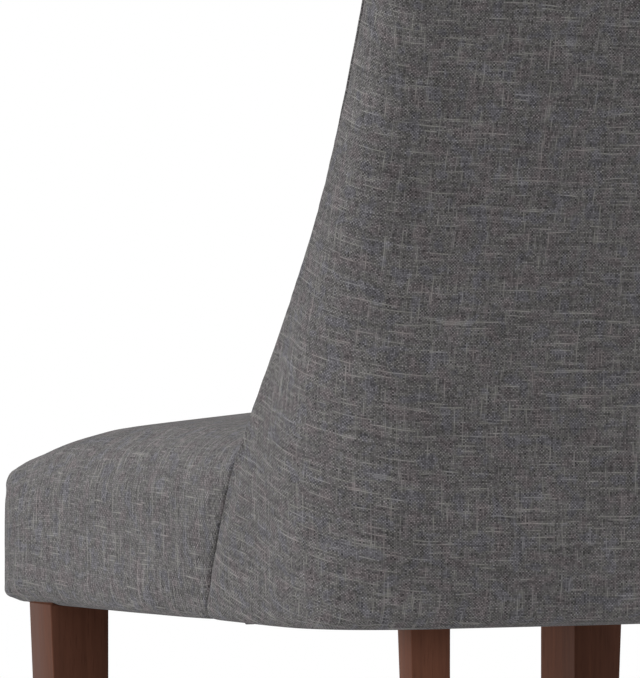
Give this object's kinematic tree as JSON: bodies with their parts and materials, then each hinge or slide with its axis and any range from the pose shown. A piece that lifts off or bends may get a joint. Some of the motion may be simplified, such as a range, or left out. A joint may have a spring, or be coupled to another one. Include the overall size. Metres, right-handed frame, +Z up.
{
  "type": "parsons chair",
  "caption": "Upholstered dining chair with a domed seat, a high leaning back whose sides sweep forward to the seat, and square tapered wooden legs.",
  "frame": {"origin": "on the floor, under the middle of the chair's box", "axes": "+Z up; the chair faces -Y, so +Y is its rear; +X is the sitter's left"},
  "size_m": [0.4828, 0.6004, 0.9849],
  "materials": {
    "frame_wood": "matte",
    "leg_wood": "satin",
    "upholstery_cloth": "matte",
    "foam": "matte",
    "wadding": "matte",
    "webbing": "matte",
    "dust_cloth": "matte",
    "zinc_steel": "satin",
    "glide_nylon": "matte"
  },
  "bodies": {
    "root": {"front_rail": "frame_wood", "rear_rail": "frame_wood", "left_side_rail": "frame_wood", "right_side_rail": "frame_wood", "front_left_corner_block": "frame_wood", "front_right_corner_block": "frame_wood", "rear_left_corner_block": "frame_wood", "rear_right_corner_block": "frame_wood", "left_back_post": "frame_wood", "right_back_post": "frame_wood", "left_wing_board": "frame_wood", "right_wing_board": "frame_wood", "back_lower_rail": "frame_wood", "back_middle_rail": "frame_wood", "back_top_rail": "frame_wood", "side_rail_dowels": "frame_wood", "post_dowels": "frame_wood", "front_left_leg": "leg_wood", "front_right_leg": "leg_wood", "rear_left_leg": "leg_wood", "rear_right_leg": "leg_wood", "seat_cover": "upholstery_cloth", "outside_back_cover": "upholstery_cloth", "inside_back_cover": "upholstery_cloth", "seat_foam": "foam", "left_side_pad": "foam", "right_side_pad": "foam", "outside_back_pad": "foam", "inside_back_foam": "foam", "left_wing_foam": "foam", "right_wing_foam": "foam", "seat_wadding": "wadding", "seat_webs_long": "webbing", "seat_webs_cross": "webbing", "back_webs": "webbing", "dust_cover": "dust_cloth", "front_leg_bolts": "zinc_steel", "front_leg_nuts": "zinc_steel", "rear_leg_bolts": "zinc_steel", "rear_leg_nuts": "zinc_steel", "wing_board_screws": "zinc_steel", "corner_block_screws": "zinc_steel", "dust_cover_staples": "zinc_steel", "floor_glides": "glide_nylon"}
  },
  "joints": []
}
